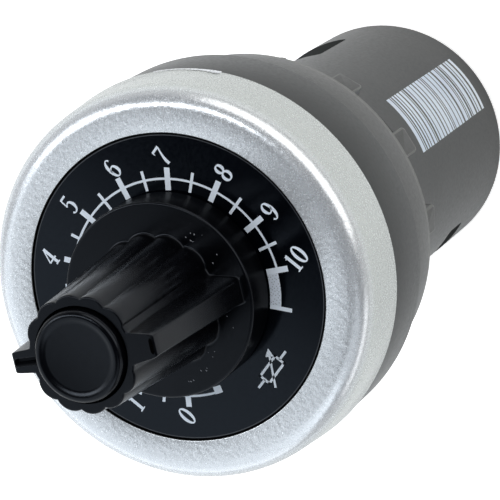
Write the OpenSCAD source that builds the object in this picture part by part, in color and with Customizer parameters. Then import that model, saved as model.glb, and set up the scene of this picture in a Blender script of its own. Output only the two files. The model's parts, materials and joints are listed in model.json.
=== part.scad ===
// Panel mounted rotary potentiometer: knob, dial and bezel in front of the panel,
// threaded barrel, ring nut and terminal housing behind it.
// Origin at the centre of the flat rear face, +Z along the shaft towards the knob,
// +Y towards the middle number of the dial. Angles run clockwise from +Y, seen from the front.

/* [Panel and barrel] */
// Depth of the unit behind the panel
depth_behind_panel = 36.6; // [32:0.1:50]
// Diameter of the barrel thread
thread_d = 22; // [21.8:0.1:23]
// Width of the collar outside the thread
collar_flange = 4.05; // [3.6:0.05:6]
// Height of the collar
collar_h = 5.6; // [4.5:0.1:8]
// Height of the head inside the bezel
head_h = 4.3; // [3.9:0.1:6]
// Step in from the collar to the head
head_step = 1.95; // [1.5:0.05:2]
// Thickness of the bulkhead that carries the bushing
bulkhead_t = 2; // [1.6:0.1:2.2]
// Height of the bulkhead's rear face above the panel
bulkhead_offset = 1.5; // [1:0.1:2.5]
// Length of the thread's free end behind the nut
thread_end_len = 1.5; // [1:0.1:2.5]
// Depth of thread that the nut engages
thread_engaged = 0.3; // [0.2:0.05:0.5]

/* [Panel gasket] */
// Gap from the thread to the gasket
gasket_offset = 1; // [0.8:0.1:1.2]
// Width of the gasket
gasket_w = 2; // [1.4:0.1:2.2]
// Thickness of the gasket
gasket_t = 1.2; // [0.8:0.1:2]

/* [Ring nut] */
// Step in from the collar to the nut
nut_set_in = 0.3; // [0.1:0.05:0.6]
// Taper of the nut, as a loss of radius over its height
nut_taper = 0.75; // [0.2:0.05:1]
// Height of the nut's flange
nut_h = 5.55; // [4:0.05:6.5]
// Step in from the flange's rear edge to the hub
hub_step = 1.4; // [1:0.1:1.8]
// Height of the hub behind the flange
hub_h = 2.85; // [2:0.05:3.5]
// Number of lugs on the hub
lug_count = 12; // [8:1:16]
// Width of a lug
lug_w = 2.2; // [1.6:0.05:2.6]
// Height of a lug
lug_h = 2.85; // [1.5:0.05:3.2]
// Corner radius of a lug
lug_round = 0.35; // [0.1:0.05:0.6]
// Turn of the first lug from the top of the dial
lug_turn = 21.6; // [0:0.1:30]

/* [Rear housing] */
// Step in from the thread to the housing
housing_step = 0.8; // [0.4:0.05:1]
// Wall of the housing
housing_wall = 1.3; // [1:0.1:1.5]
// Thickness of the rear wall
floor_t = 1.6; // [1.2:0.1:2]
// Length of the spigot inside the barrel
spigot_len = 3; // [2:0.1:4]
// Wall of the spigot
spigot_wall = 0.7; // [0.5:0.05:0.9]
// Rounding of the rear edge
housing_round = 0.4; // [0.2:0.1:0.8]

/* [Wire window] */
// Width of the wire window
window_w = 14.4; // [12.6:0.1:15]
// Height of the wire window
window_h = 6.7; // [5.5:0.1:7.4]
// Height of the window's lower edge
window_z = 6; // [5.6:0.1:6.6]
// Corner radius of the window
window_round = 0.5; // [0.2:0.1:1]

/* [Latch window] */
// Angle of the middle of the latch window
latch_deg = 194; // [188:1:200]
// Width of the latch window
latch_w = 7.2; // [5:0.1:8]
// Height of the latch window
latch_h = 3.7; // [3:0.1:4.4]
// Height of the latch window's lower edge
latch_z = 7; // [6.1:0.1:7.6]
// Corner radius of the latch window
latch_round = 0.7; // [0.2:0.1:1]
// Play of the latch tooth in its window
latch_play = 0.3; // [0.15:0.05:0.5]

/* [Bezel] */
// Height by which the bezel stands proud of the collar all round
bezel_overhang = 0.1; // [0.05:0.05:0.5]
// Width of the bezel, from the dial to its outer edge
bezel_w = 3.55; // [3.4:0.05:4]
// Height by which the bezel stands above the dial
bezel_lip = 0.15; // [0.05:0.05:0.5]
// Radius of the round shoulder between face and side
shoulder_round = 1.65; // [0.6:0.05:2.4]
// Flare of the side towards the collar, as a gain of radius
side_flare = 0.28; // [0.1:0.02:0.5]

/* [Dial] */
// Thickness of the dial plate
dial_t = 0.8; // [0.5:0.1:1.2]
// Diameter of the hole in the dial plate
dial_hole_d = 9.4; // [9:0.1:10.5]

/* [Knob] */
// Diameter of the skirt
skirt_d = 14.6; // [13:0.1:18]
// Height of the skirt
skirt_h = 2.9; // [2.2:0.1:4]
// Height of the fluted grip above the skirt
grip_h = 12.8; // [12.2:0.1:16]
// Diameter of the grip in the flutes, at the front
grip_d = 7.8; // [7.7:0.05:9]
// Height of a lobe between two flutes
lobe_h = 0.3; // [0.1:0.05:0.5]
// Lobes on each side of the grip
lobe_count = 5; // [3:1:5]
// Angle from the pointer to the first lobe
lobe_first = 34.5; // [32:0.5:40]
// Angle from lobe to lobe
lobe_pitch = 27; // [24:0.5:28]
// Widening of the grip from front to skirt
grip_draft = 0.7; // [0.3:0.05:0.9]
// Reach of the pointer ear from the axis, at the front
pointer_reach = 5.25; // [4.8:0.05:6]
// Width of the pointer ear
pointer_w = 1.5; // [1.2:0.05:2.5]
// Width of the groove along the pointer ear
pointer_groove = 0.5; // [0.3:0.05:0.8]
// Reach of the tail ear from the axis, at the front
tail_reach = 5.6; // [5:0.05:6]
// Width of the tail ear
tail_w = 1.6; // [1.2:0.05:3]
// Length of the slot in the tail ear, across the ear
tail_slot = 1; // [0.6:0.05:1.2]
// Angle of the pointer at rest, from the top of the dial
pointer_deg = -48; // [-150:1:150]
// Gap between knob and dial
knob_gap = 0.3; // [0.2:0.05:1]
// Depth of the hollow under the skirt
skirt_hollow = 1.7; // [1:0.1:2]
// Rim of the skirt round that hollow
skirt_rim = 0.9; // [0.7:0.1:1.4]

/* [Knob cap] */
// Diameter of the cap
cap_d = 6.52; // [6.4:0.02:6.7]
// Height by which the cap stands above the knob
cap_proud = 0.7; // [0.3:0.05:1.2]
// Thickness of the cap
cap_t = 1.6; // [1.2:0.1:2.2]
// Rounding of the cap's edge
cap_round = 0.35; // [0.1:0.05:0.5]
// Depth of the dish in the cap
cap_dish = 0.12; // [0.05:0.01:0.2]

/* [Collet] */
// Wall of the collet at its rear end
collet_wall = 0.75; // [0.5:0.05:0.8]
// Taper of the collet, as a loss of radius over its length
collet_taper = 0.3; // [0.1:0.05:0.4]
// Length of shaft that the collet grips
collet_grip = 7; // [5:0.1:8]
// Width of the slots in the collet
collet_slot = 0.8; // [0.5:0.1:1.2]
// Diameter of the stud of the collet
stud_d = 3.8; // [3:0.1:4]
// Thickness of the knob's inner shelf under the nut
shelf_t = 1.4; // [1:0.1:2]
// Width across the flats of the collet nut
collet_nut_af = 5.6; // [5:0.1:5.7]
// Height of the collet nut
collet_nut_h = 2.2; // [1.6:0.1:2.4]

/* [Shaft and bushing] */
// Diameter of the shaft
shaft_d = 6; // [5.8:0.05:6.1]
// Depth of the flat on the shaft, at the rotor
shaft_flat = 0.6; // [0.3:0.05:1]
// Distance from the shaft to the crest of the bushing thread
bushing_wall = 0.5; // [0.4:0.05:0.7]
// Length of the bushing in front of its plate
bushing_len = 8.2; // [7:0.1:8.4]
// Wall of the bushing nut at its flats
bushing_nut_wall = 1.5; // [1:0.1:1.6]
// Height of the bushing nut
bushing_nut_h = 2; // [1.5:0.1:2.4]
// Thickness of the lock washer
lock_washer_t = 0.4; // [0.3:0.05:0.6]
// Teeth of the lock washer
lock_teeth = 12; // [8:1:16]
// Thickness of the shaft clip
clip_t = 0.5; // [0.3:0.05:0.6]
// Depth of the groove for the shaft clip
clip_groove = 0.4; // [0.2:0.05:0.6]
// Width of the shaft clip outside the shaft
clip_w = 1.2; // [0.8:0.1:1.4]
// Thickness of the rubber washer behind the bulkhead
seal_t = 0.5; // [0.3:0.1:1]
// Width of that rubber washer
seal_w = 3; // [2:0.1:4]

/* [Potentiometer] */
// Gap from the housing's inner wall to the potentiometer's case
case_gap = 0.4; // [0.3:0.05:0.8]
// Wall of the case
case_wall = 0.4; // [0.3:0.05:0.5]
// Depth of the case behind its plate
case_h = 6.4; // [6.2:0.1:7]
// Thickness of the mounting plate
plate_t = 1; // [0.8:0.1:1.2]
// Thickness of the wafer that carries the track
wafer_t = 1.2; // [0.8:0.1:1.4]
// Thickness of the resistive track
track_t = 0.1; // [0.05:0.05:0.2]
// Gap between the collector ring and the track
track_gap = 0.8; // [0.5:0.05:1.2]
// Share of the collector ring in the width of ring and track together
collector_share = 0.394; // [0.35:0.002:0.45]
// Mechanical travel of the shaft
travel_deg = 300; // [240:5:310]
// Thickness of the rotor
rotor_t = 2.2; // [1.5:0.1:2.4]
// Gap between wafer and rotor
rotor_gap = 1.2; // [1:0.1:1.4]
// Half width of the rotor's stop tab
tab_half_deg = 13; // [8:0.5:16]
// Height of the rotor's stop tab
tab_h = 1; // [0.5:0.1:1.2]
// Gap left between tab and stop at the end of travel
stop_gap_deg = 0.5; // [0.3:0.1:2]

/* [Terminals] */
// Share of the housing's inner radius from clamp to clamp
clamp_share = 0.517; // [0.5:0.001:0.53]
// Wall between two clamp pockets
pocket_wall = 0.8; // [0.6:0.1:1]
// Height of the lower face of the strips
strip_z = 10.2; // [9.6:0.1:10.6]
// Thickness of the strips under the screws
foot_t = 0.8; // [0.6:0.1:1]
// Thickness of the strips' legs
leg_t = 0.5; // [0.4:0.05:0.6]
// Width of the strips' legs
leg_w = 1.6; // [1.2:0.1:1.8]
// Height of the terminal block
block_h = 14; // [13.2:0.1:15.4]
// Distance from the axis to the block's front face
block_front = 3; // [2.8:0.1:3.4]
// Distance from the axis to the closed end of the pockets
pocket_depth = 3; // [2.8:0.1:3.2]
// Share of a foot's width that its screw takes
screw_share = 0.706; // [0.6:0.002:0.72]
// Overhang of the screw heads
head_over = 0.6; // [0.4:0.05:0.6]
// Height of the screw heads
screw_head_h = 1.4; // [1:0.1:1.6]
// Thickness of the clamp plates
clamp_t = 0.8; // [0.6:0.1:1]

/* [Clearances] */
// Radial clearance of the shaft in its bushing
shaft_clearance = 0.05; // [0.02:0.01:0.1]
// Clearance between pieces that are pushed together
push_clearance = 0.05; // [0.03:0.01:0.1]
// Radial clearance of threads, drawn plain
thread_clearance = 0.1; // [0.05:0.01:0.12]
// Clearance between pieces that move past each other
running_gap = 0.1; // [0.05:0.01:0.2]

/* [Hidden] */
$fn = 64;
// Small overlap that joins or cuts solids cleanly
eps = 0.01;

// Small distances in the knob: depth of the collet, gap under the shelf, gap round the cap, end of the
// stud, clearance of the collet's bore, wall of the sleeve round the collet
collet_inset = 0.6;
shelf_gap = 0.4;
cap_gap = 0.14;
stud_end = 0.6;
grip_clearance = 0.02;
collet_sleeve = 1.1;

// Small distances behind the dial: room round the bushing nut, bare rims of wafer, rotor and leg row,
// width of the stops, gap inside the collector ring, reach of the track past its end stops
nut_room = 0.8;
wafer_rim = 0.45;
rotor_rim = 1;
leg_rim = 0.9;
stop_w = 2;
collector_gap = 0.5;
track_over_deg = 2;

// Small distances of the clamps: depth of the screw heads, end of the screws, side play in the pockets,
// room over the feet, how far feet and clamps stand back, end of a foot in the block
head_inset = 0.6;
screw_end = 1.4;
pocket_play = 0.2;
pocket_room = 0.5;
foot_set_back = 0.6;
foot_anchor = 1;
latch_inset = 0.5;
edge_cut = 0.1;

// Heights along the axis, from the rear face to the cap
panel_z = depth_behind_panel;
collar_top_z = panel_z + collar_h;
head_top_z = collar_top_z + head_h;
dial_z = head_top_z + dial_t;
bezel_face_z = dial_z + bezel_lip;
knob_z = dial_z + knob_gap;
skirt_top_z = knob_z + skirt_h;
knob_top_z = skirt_top_z + grip_h;
cap_top_z = knob_top_z + cap_proud;
nut_rear_z = panel_z - nut_h;
hub_z = nut_rear_z - hub_h;
lug_end_z = hub_z - lug_h;
barrel_z = lug_end_z - thread_end_len;
bulkhead_z = panel_z + bulkhead_offset;
cavity_z = bulkhead_z + bulkhead_t;
plate_z = bulkhead_z - seal_t - plate_t;
case_z = plate_z - case_h;
wafer_z = case_z + case_wall;
track_z = wafer_z + wafer_t;
rotor_z = track_z + rotor_gap;
rotor_top_z = rotor_z + rotor_t;
bushing_top_z = plate_z + plate_t + bushing_len;
clip_z = bushing_top_z + running_gap;

// Radii of the barrel and housing
barrel_r = thread_d / 2;
housing_r = barrel_r - housing_step;
housing_in_r = housing_r - housing_wall;
spigot_r = housing_in_r + spigot_wall;
case_r = housing_in_r - case_gap;
barrel_bore_r = case_r + 2 * push_clearance;
engaged_r = barrel_r - thread_engaged;
collar_r = barrel_r + collar_flange;
gasket_in_r = barrel_r + gasket_offset;
gasket_out_r = gasket_in_r + gasket_w;
head_r = collar_r - head_step;
nut_front_r = collar_r - nut_set_in;
nut_rear_r = nut_front_r - nut_taper;
hub_r = nut_rear_r - hub_step;
nut_bore_r = engaged_r + thread_clearance;
bezel_r = collar_r + bezel_overhang;
opening_r = bezel_r - bezel_w;

// Radii of the bushing and the pieces on it
shaft_r = shaft_d / 2;
bushing_r = shaft_r + bushing_wall;
bushing_nut_flat_r = bushing_r + bushing_nut_wall;
bushing_nut_r = bushing_nut_flat_r / cos(30);
cavity_r = bushing_nut_r + nut_room;
clip_r = shaft_r + clip_w;
seal_r = bushing_r + seal_w;

// Inside of the knob
collet_z = knob_z + collet_inset;
collet_r = shaft_r + collet_wall;
collet_end_z = collet_z + collet_grip;
collet_end_r = collet_r - collet_taper;
shelf_z = collet_end_z + shelf_gap;
nut_seat_z = shelf_z + shelf_t;
cap_r = cap_d / 2;
recess_r = cap_r + cap_gap;
stud_r = stud_d / 2;
stud_top_z = nut_seat_z + collet_nut_h + stud_end;
shaft_top_z = collet_end_z - running_gap;

// Potentiometer and terminals
wafer_r = case_r - case_wall - push_clearance;
track_out_r = wafer_r - wafer_rim;
collector_r = shaft_r + collector_gap;
collector_w = (track_out_r - track_gap - collector_r) * collector_share;
track_in_r = collector_r + collector_w + track_gap;
track_mid_r = (track_in_r + track_out_r) / 2;
rotor_r = wafer_r - rotor_rim;
leg_r = wafer_r - leg_rim;
half_travel = travel_deg / 2;
leg_x = leg_r * sin(half_travel);
leg_y = leg_r * cos(half_travel);
stop_half_deg = 180 - half_travel - tab_half_deg - stop_gap_deg;
block_r = housing_in_r - push_clearance;
clamp_pitch = housing_in_r * clamp_share;
pocket_w = clamp_pitch - pocket_wall;
foot_w = pocket_w - 2 * pocket_play;
screw_d = foot_w * screw_share;
screw_head_d = screw_d + 2 * head_over;
pocket_y = -pocket_depth;
head_z = floor_t + head_inset;
clamp_z = window_z - clamp_t;
screw_top_z = strip_z + foot_t + screw_end;

// Arc of points round a centre, from one angle to another
function arc(cx, cy, r, a0, a1, n = 6) =
    [for (i = [0:n]) [cx + r * cos(a0 + (a1 - a0) * i / n), cy + r * sin(a0 + (a1 - a0) * i / n)]];

// Turns its children clockwise from the top of the dial
module at_deg(deg) {
    rotate([0, 0, -deg]) children();
}

// Ring with plain walls
module tube(outer, inner, z0, z1) {
    translate([0, 0, z0]) difference() {
        cylinder(r = outer, h = z1 - z0);
        translate([0, 0, -eps]) cylinder(r = inner, h = z1 - z0 + 2 * eps);
    }
}

// Ring sector between two angles, clockwise from the top of the dial
module sector(outer, inner, z0, z1, from_deg, to_deg) {
    translate([0, 0, z0]) rotate([0, 0, 90 - to_deg])
        rotate_extrude(angle = to_deg - from_deg)
            translate([inner, 0]) square([outer - inner, z1 - z0]);
}

// Rectangle with round corners, centred
module rounded(w, h, r) {
    square([w - 2 * r, h], center = true);
    square([w, h - 2 * r], center = true);
    for (x = [-1, 1], y = [-1, 1])
        translate([x * (w / 2 - r), y * (h / 2 - r)]) circle(r = r, $fn = 24);
}

// Block with round corners that reaches out from the axis along +Y
module window_block(w, h, z, r, from_y, to_y) {
    translate([0, to_y, z + h / 2]) rotate([90, 0, 0])
        linear_extrude(to_y - from_y) rounded(w, h, r);
}

// Radius of the grip at an angle from the pointer: round flutes between lobes
function lobe_at(a) =
    let (k = round((abs(a) - lobe_first) / lobe_pitch), off = abs(a) - lobe_first - k * lobe_pitch)
    (k >= 0 && k < lobe_count) ? lobe_h * sqrt(max(0, cos(off * 180 / lobe_pitch))) : 0;

// Outline of the grip: lobes, pointer ear along +Y and tail ear along -Y
module grip_outline() {
    round_in = 0.35;
    offset(r = -round_in, $fn = 24) offset(delta = round_in) {
        polygon([for (a = [-180:4.5:175.5]) (grip_d / 2 + lobe_at(a)) * [sin(a), cos(a)]]);
        translate([-pointer_w / 2, 0]) square([pointer_w, pointer_reach]);
        polygon([[-tail_w * 0.9, 0], [-tail_w * 0.9, -grip_d / 2], [-tail_w / 2, -tail_reach],
            [tail_w / 2, -tail_reach], [tail_w * 0.9, -grip_d / 2], [tail_w * 0.9, 0]]);
    }
}

// Grip from inside the skirt to the front face, wider at the skirt
module grip() {
    top_scale = grip_d / (grip_d + 2 * grip_draft);
    sunk = 0.6;
    translate([0, 0, skirt_top_z - sunk])
        linear_extrude(grip_h + sunk, scale = top_scale) scale(1 / top_scale) grip_outline();
}

// Skirt with a slightly rounded upper edge
module skirt() {
    r = skirt_d / 2;
    edge = 0.15;
    rotate_extrude() polygon(concat([[0, knob_z], [r, knob_z]],
        arc(r - edge, skirt_top_z - edge, edge, 0, 90, 3), [[0, skirt_top_z]]));
}

// Hollows of the knob: collet bore, shelf hole, cap recess and the ring under the skirt
module knob_hollows() {
    translate([0, 0, knob_z - eps])
        cylinder(r1 = collet_r + push_clearance, r2 = collet_end_r + push_clearance,
            h = shelf_z - knob_z + eps);
    translate([0, 0, shelf_z - eps]) cylinder(r = stud_r + push_clearance, h = shelf_t + 2 * eps);
    translate([0, 0, nut_seat_z]) cylinder(r = recess_r, h = knob_top_z - nut_seat_z + eps);
    tube(skirt_d / 2 - skirt_rim, collet_r + collet_sleeve, knob_z - eps, knob_z + skirt_hollow);
}

// Grooves of the two ears: a line for the pointer and a slot for the tail
module ear_cuts() {
    depth = 0.25;
    translate([0, 0, knob_top_z]) rotate([-90, 0, 0])
        linear_extrude(pointer_reach + 1)
            polygon([[-pointer_groove / 2, -eps], [0, depth], [pointer_groove / 2, -eps]]);
    translate([0, tail_reach * -0.93, knob_top_z]) cube([tail_slot, 0.42, 2.4], center = true);
    translate([0, pointer_reach + grip_draft / 2, knob_top_z]) rotate([45, 0, 0])
        cube([pointer_groove, 1.2, 1.2], center = true);
}

module knob() {
    color([0.05, 0.05, 0.07]) at_deg(pointer_deg) difference() {
        union() {
            skirt();
            grip();
        }
        knob_hollows();
        ear_cuts();
    }
}

module knob_cap() {
    leg_r_out = recess_r - push_clearance;
    rim = cap_r - cap_round;
    disc_z = cap_top_z - cap_t;
    color([0.05, 0.05, 0.07]) {
        rotate_extrude() polygon(concat([[0, disc_z], [cap_r, disc_z]],
            arc(rim, cap_top_z - cap_round, cap_round, 0, 90, 5),
            [[rim - 0.25, cap_top_z], [rim - 0.5, cap_top_z - cap_dish], [0, cap_top_z - cap_dish]]));
        tube(leg_r_out, leg_r_out - 0.5, nut_seat_z + collet_nut_h + 0.2, disc_z + eps);
    }
}

module collet() {
    color([0.78, 0.66, 0.35]) difference() {
        union() {
            translate([0, 0, collet_z])
                cylinder(r1 = collet_r - collet_taper * 0.08, r2 = collet_end_r, h = collet_grip);
            translate([0, 0, collet_end_z - eps]) cylinder(r = stud_r, h = stud_top_z - collet_end_z);
        }
        translate([0, 0, collet_z - eps])
            cylinder(r = shaft_r + grip_clearance, h = shaft_top_z - collet_z + push_clearance + eps);
        for (a = [0, 120, 240])
            rotate([0, 0, a]) translate([-collet_slot / 2, 0, collet_z - eps])
                cube([collet_slot, collet_r + 1, collet_grip * 0.8]);
    }
}

module collet_nut() {
    color([0.78, 0.66, 0.35]) difference() {
        translate([0, 0, nut_seat_z]) cylinder(r = collet_nut_af / sqrt(3), h = collet_nut_h, $fn = 6);
        translate([0, 0, nut_seat_z - eps])
            cylinder(r = stud_r + push_clearance, h = collet_nut_h + 2 * eps);
    }
}

module pot_shaft() {
    color([0.7, 0.71, 0.72]) difference() {
        translate([0, 0, rotor_z]) cylinder(r = shaft_r, h = shaft_top_z - rotor_z);
        tube(shaft_r + 1, shaft_r - clip_groove, clip_z - push_clearance, clip_z + clip_t + push_clearance);
        at_deg(pointer_deg) translate([shaft_r - shaft_flat, -shaft_r, rotor_z - eps])
            cube([shaft_r, 2 * shaft_r, rotor_t + eps]);
    }
}

module shaft_clip() {
    groove_r = shaft_r - clip_groove + push_clearance;
    color([0.6, 0.61, 0.62]) difference() {
        tube(clip_r, groove_r, clip_z, clip_z + clip_t);
        translate([-groove_r * 0.8, 0, clip_z - eps])
            cube([groove_r * 1.6, 2 * clip_r, clip_t + 2 * eps]);
    }
}

module rotor() {
    color([0.85, 0.82, 0.74]) at_deg(pointer_deg) {
        difference() {
            translate([0, 0, rotor_z]) cylinder(r = rotor_r, h = rotor_t);
            difference() {
                translate([0, 0, rotor_z - eps])
                    cylinder(r = shaft_r + push_clearance, h = rotor_t + 2 * eps);
                translate([shaft_r - shaft_flat + push_clearance, -rotor_r, rotor_z - 2 * eps])
                    cube([rotor_r, 2 * rotor_r, rotor_t + 4 * eps]);
            }
        }
        sector(rotor_r, rotor_r - stop_w, rotor_top_z - eps, rotor_top_z + tab_h,
            -tab_half_deg, tab_half_deg);
    }
}

module wiper() {
    t = 0.25;
    arm_w = 1.4;
    ring_w = 1.5;
    contact_z = track_z + track_t + push_clearance;
    plate_bottom = rotor_z - t;
    contact_r = 0.45;
    color([0.8, 0.7, 0.45]) at_deg(pointer_deg) {
        tube(shaft_r + running_gap + ring_w, shaft_r + running_gap, plate_bottom, rotor_z);
        translate([-arm_w / 2, collector_r + 0.2, plate_bottom])
            cube([arm_w, track_mid_r - collector_r + 0.4, t]);
        for (y = [collector_r + collector_w / 2, track_mid_r])
            translate([0, y, contact_z])
                cylinder(r = contact_r, h = plate_bottom - contact_z + eps, $fn = 24);
    }
}

module dial_plate() {
    color([0.05, 0.06, 0.09])
        tube(opening_r - push_clearance, dial_hole_d / 2, head_top_z, dial_z);
}

// Section of the bezel: flat face, round shoulder, side that flares towards the collar
module bezel_section() {
    side_r = bezel_r - side_flare;
    seat_r = head_r + push_clearance;
    polygon(concat(
        [[opening_r, head_top_z], [opening_r, bezel_face_z]],
        arc(side_r - shoulder_round, bezel_face_z - shoulder_round, shoulder_round, 90, 5, 10),
        [[bezel_r, collar_top_z], [seat_r, collar_top_z], [seat_r, head_top_z]]));
}

module bezel_ring() {
    color([0.72, 0.74, 0.76]) rotate_extrude($fn = 96) bezel_section();
}

module front_body() {
    free_z = lug_end_z - running_gap;
    color([0.32, 0.33, 0.34]) difference() {
        rotate_extrude($fn = 96) polygon([[0, barrel_z], [barrel_r - edge_cut, barrel_z],
            [barrel_r, barrel_z + edge_cut], [barrel_r, free_z], [engaged_r, free_z],
            [engaged_r, panel_z], [collar_r, panel_z], [collar_r, collar_top_z],
            [head_r, collar_top_z], [head_r, head_top_z], [0, head_top_z]]);
        translate([0, 0, barrel_z - eps])
            cylinder(r = spigot_r + push_clearance, h = spigot_len + push_clearance + eps);
        translate([0, 0, barrel_z]) cylinder(r = barrel_bore_r, h = bulkhead_z - barrel_z);
        translate([0, 0, bulkhead_z - eps])
            cylinder(r = bushing_r + push_clearance, h = bulkhead_t + 2 * eps);
        translate([0, 0, cavity_z]) cylinder(r = cavity_r, h = head_top_z - cavity_z + eps);
        tube(gasket_out_r + running_gap, gasket_in_r - running_gap, panel_z - eps, panel_z + gasket_t);
    }
}

module panel_gasket() {
    color([0.2, 0.2, 0.2]) tube(gasket_out_r, gasket_in_r, panel_z, panel_z + gasket_t);
}

// One lug: a block along +Y with its rear corners rounded
module lug(from_y, to_y) {
    w = lug_w / 2;
    r = lug_round;
    translate([0, to_y, hub_z]) rotate([90, 0, 0]) linear_extrude(to_y - from_y)
        polygon(concat([[-w, eps]], arc(r - w, r - lug_h, r, 180, 270, 4),
            arc(w - r, r - lug_h, r, 270, 360, 4), [[w, eps]]));
}

module ring_nut() {
    color([0.45, 0.46, 0.47]) {
        rotate_extrude($fn = 96) polygon([[nut_bore_r, hub_z], [hub_r, hub_z], [hub_r, nut_rear_z],
            [nut_rear_r - edge_cut, nut_rear_z], [nut_rear_r, nut_rear_z + edge_cut],
            [nut_front_r, panel_z], [nut_bore_r, panel_z]]);
        for (i = [0:lug_count - 1])
            at_deg(lug_turn + i * 360 / lug_count) lug(nut_bore_r + edge_cut, hub_r - edge_cut / 2);
    }
}

module rear_housing() {
    rear = housing_round;
    color([0.42, 0.43, 0.44]) difference() {
        rotate_extrude($fn = 96) polygon(concat([[0, 0]],
            arc(housing_r - rear, rear, rear, -90, 0, 4),
            [[housing_r, barrel_z], [spigot_r, barrel_z], [spigot_r, barrel_z + spigot_len],
            [housing_in_r, barrel_z + spigot_len], [housing_in_r, floor_t], [0, floor_t]]));
        window_block(window_w, window_h, window_z, window_round, housing_in_r / 3, housing_r + 1);
        at_deg(latch_deg)
            window_block(latch_w, latch_h, latch_z, latch_round, housing_in_r / 2, housing_r + 1);
        for (i = [-1:1])
            translate([i * clamp_pitch, 0, -eps])
                cylinder(r = screw_head_d / 2 + running_gap, h = floor_t + 2 * eps);
    }
}

module bushing() {
    plate_r = case_r - case_wall - push_clearance;
    stop_top = rotor_top_z + running_gap;
    color([0.75, 0.72, 0.6]) {
        difference() {
            union() {
                translate([0, 0, plate_z]) cylinder(r = case_r, h = plate_t);
                translate([0, 0, plate_z]) cylinder(r = bushing_r, h = plate_t + bushing_len);
            }
            translate([0, 0, plate_z - eps])
                cylinder(r = shaft_r + shaft_clearance, h = plate_t + bushing_len + 2 * eps);
        }
        sector(plate_r, rotor_r - stop_w, stop_top, plate_z + eps,
            180 - stop_half_deg, 180 + stop_half_deg);
    }
}

module bushing_nut() {
    z = cavity_z + lock_washer_t;
    color([0.75, 0.72, 0.6]) difference() {
        translate([0, 0, z]) cylinder(r = bushing_nut_r, h = bushing_nut_h, $fn = 6);
        translate([0, 0, z - eps])
            cylinder(r = bushing_r + push_clearance, h = bushing_nut_h + 2 * eps);
    }
}

module lock_washer() {
    color([0.6, 0.61, 0.62]) difference() {
        tube(bushing_nut_flat_r, bushing_r + push_clearance, cavity_z, cavity_z + lock_washer_t);
        for (i = [0:lock_teeth - 1])
            rotate([0, 0, i * 360 / lock_teeth]) translate([0, bushing_r, cavity_z - eps])
                cylinder(r = bushing_r / 8, h = lock_washer_t + 2 * eps, $fn = 16);
    }
}

module bushing_seal() {
    color([0.15, 0.15, 0.15])
        tube(seal_r, bushing_r + push_clearance, bulkhead_z - seal_t, bulkhead_z);
}

module pot_case() {
    inner = case_r - case_wall;
    lip = 0.25;
    color([0.66, 0.67, 0.68]) rotate_extrude() polygon([[inner - lip, case_z], [case_r, case_z],
        [case_r, plate_z], [inner, plate_z], [inner, wafer_z], [inner - lip, wafer_z]]);
}

module track_wafer() {
    hole_r = 1.2;
    color([0.55, 0.36, 0.2]) difference() {
        tube(wafer_r, hole_r, wafer_z, track_z);
        for (i = [-1:1])
            leg(i, push_clearance);
    }
}

module resistive_track() {
    color([0.1, 0.1, 0.1]) sector(track_out_r, track_in_r, track_z, track_z + track_t,
        -half_travel - track_over_deg, half_travel + track_over_deg);
}

module collector_ring() {
    tongue = leg_r + leg_t / 2;
    color([0.8, 0.8, 0.78]) {
        tube(collector_r + collector_w, collector_r, track_z, track_z + track_t);
        translate([-leg_w / 2, -tongue, track_z])
            cube([leg_w, tongue - collector_r - collector_w / 2, track_t]);
    }
}

// Leg of a strip, from the clamp up through the wafer; grow widens it into a slot
module leg(i, grow = 0) {
    x = i * leg_x;
    y = i == 0 ? -leg_r : leg_y;
    translate([x - leg_w / 2 - grow, y - leg_t / 2 - grow, strip_z - grow])
        cube([leg_w + 2 * grow, leg_t + 2 * grow, track_z - strip_z + (grow > 0 ? 1 : 0)]);
}

// Foot of a strip under its clamp screw, with the arm that joins it to the leg
module foot(i, grow = 0) {
    x = i * clamp_pitch;
    arm_x = i * leg_x;
    arm_y = i == 0 ? -leg_r : leg_y;
    rear_y = pocket_y - foot_anchor;
    translate([x - foot_w / 2 - grow, rear_y - grow, strip_z - grow])
        cube([foot_w + 2 * grow, block_front - foot_set_back - rear_y + 2 * grow, foot_t + 2 * grow]);
    translate([arm_x - leg_w / 2 - grow, arm_y - leg_t / 2 - grow, strip_z - grow])
        cube([leg_w + 2 * grow, pocket_y - arm_y + leg_t / 2 + 2 * grow, foot_t + 2 * grow]);
}

module strip(i) {
    color([0.8, 0.7, 0.45]) difference() {
        union() {
            foot(i);
            leg(i);
        }
        translate([i * clamp_pitch, 0, strip_z - eps])
            cylinder(r = screw_d / 2 + push_clearance, h = foot_t + 2 * eps, $fn = 32);
    }
}

module terminal_start() {
    strip(-1);
}

module terminal_wiper() {
    strip(0);
}

module terminal_end() {
    strip(1);
}

// Tooth of the block in the latch window, a little inside the housing's outer wall
module latch_tooth() {
    at_deg(latch_deg) intersection() {
        cylinder(r = housing_r - latch_inset, h = floor_t + block_h);
        window_block(latch_w - 2 * latch_play, latch_h - 2 * latch_play, latch_z + latch_play,
            latch_round - latch_play / 2, housing_in_r / 2, housing_r);
    }
}

module terminal_block() {
    color([0.12, 0.12, 0.13]) difference() {
        union() {
            difference() {
                translate([0, 0, floor_t]) cylinder(r = block_r, h = block_h);
                translate([-housing_r, block_front, floor_t - eps])
                    cube([2 * housing_r, housing_r, block_h + 2 * eps]);
            }
            latch_tooth();
        }
        for (i = [-1:1]) {
            translate([i * clamp_pitch - pocket_w / 2, pocket_y, clamp_z - running_gap])
                cube([pocket_w, block_front - pocket_y + 1,
                    strip_z + foot_t + pocket_room + running_gap - clamp_z]);
            translate([i * clamp_pitch, 0, floor_t - eps])
                cylinder(r = screw_head_d / 2 + running_gap / 2, h = head_z + screw_head_h - floor_t + eps);
            translate([i * clamp_pitch, 0, floor_t])
                cylinder(r = screw_d / 2 + running_gap, h = screw_top_z + running_gap - floor_t);
            leg(i, push_clearance);
            foot(i, push_clearance);
        }
    }
}

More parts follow.
